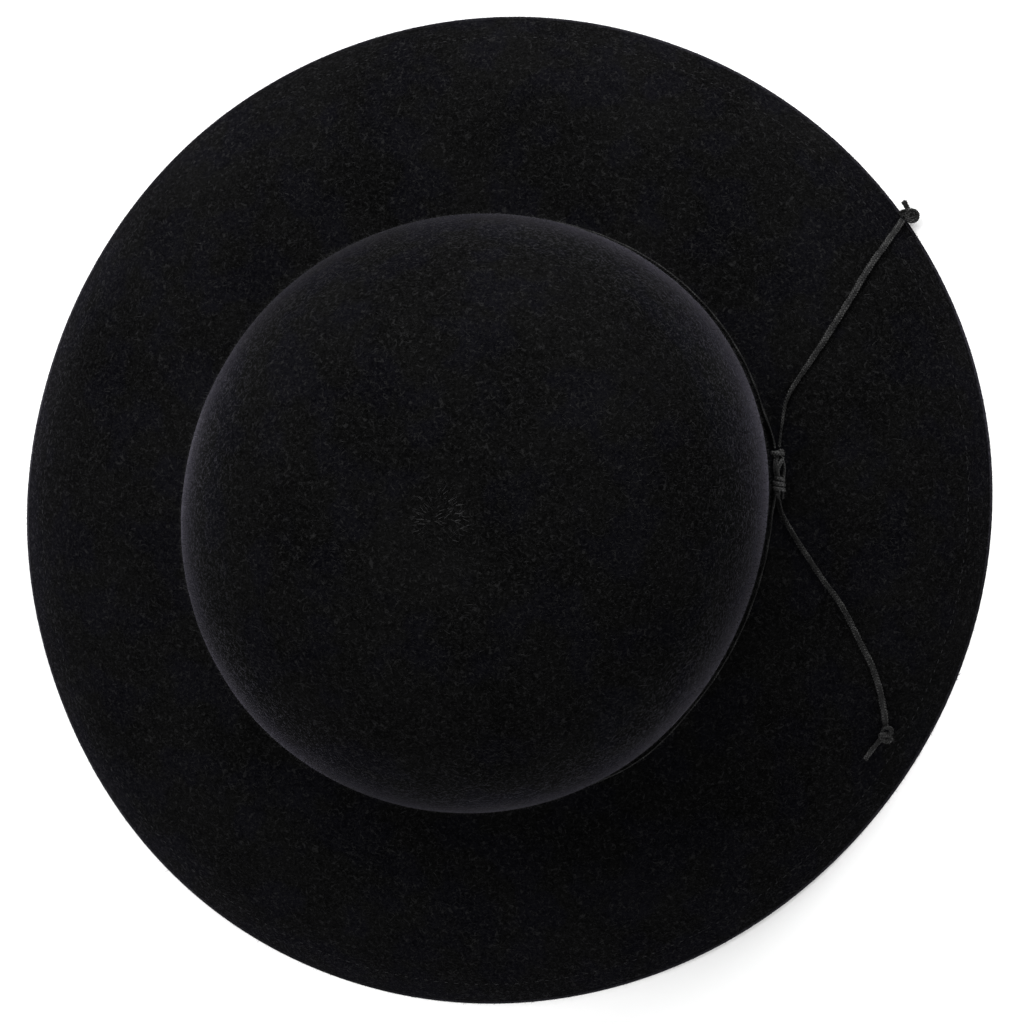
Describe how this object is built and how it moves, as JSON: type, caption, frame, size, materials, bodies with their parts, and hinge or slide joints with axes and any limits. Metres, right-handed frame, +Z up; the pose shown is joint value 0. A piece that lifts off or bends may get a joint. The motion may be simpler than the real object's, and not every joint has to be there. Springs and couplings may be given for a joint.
{
  "type": "floppy hat",
  "caption": "Soft felt hat with a round domed crown and a wide drooping brim, and a thin braided cord tied round the crown with two knotted free ends.",
  "frame": {"origin": "middle of the brim's outline, on the surface that the brim's edge rests on", "axes": "+Z up through the crown's tip; +X from the crown towards the side where the cord is tied; the hat's long axis lies 60 degrees from +X towards +Y"},
  "size_m": [0.3276, 0.3328, 0.1385],
  "materials": {
    "felt": "black wool felt with a short raised nap",
    "cord": "charcoal flat braided cord, lightly waxed"
  },
  "bodies": {
    "root": {"felt_body": "felt", "band_cord": "cord", "slide_knot": "cord", "upper_tail": "cord", "upper_end_knot": "cord", "lower_tail": "cord", "lower_end_knot": "cord"}
  },
  "joints": []
}
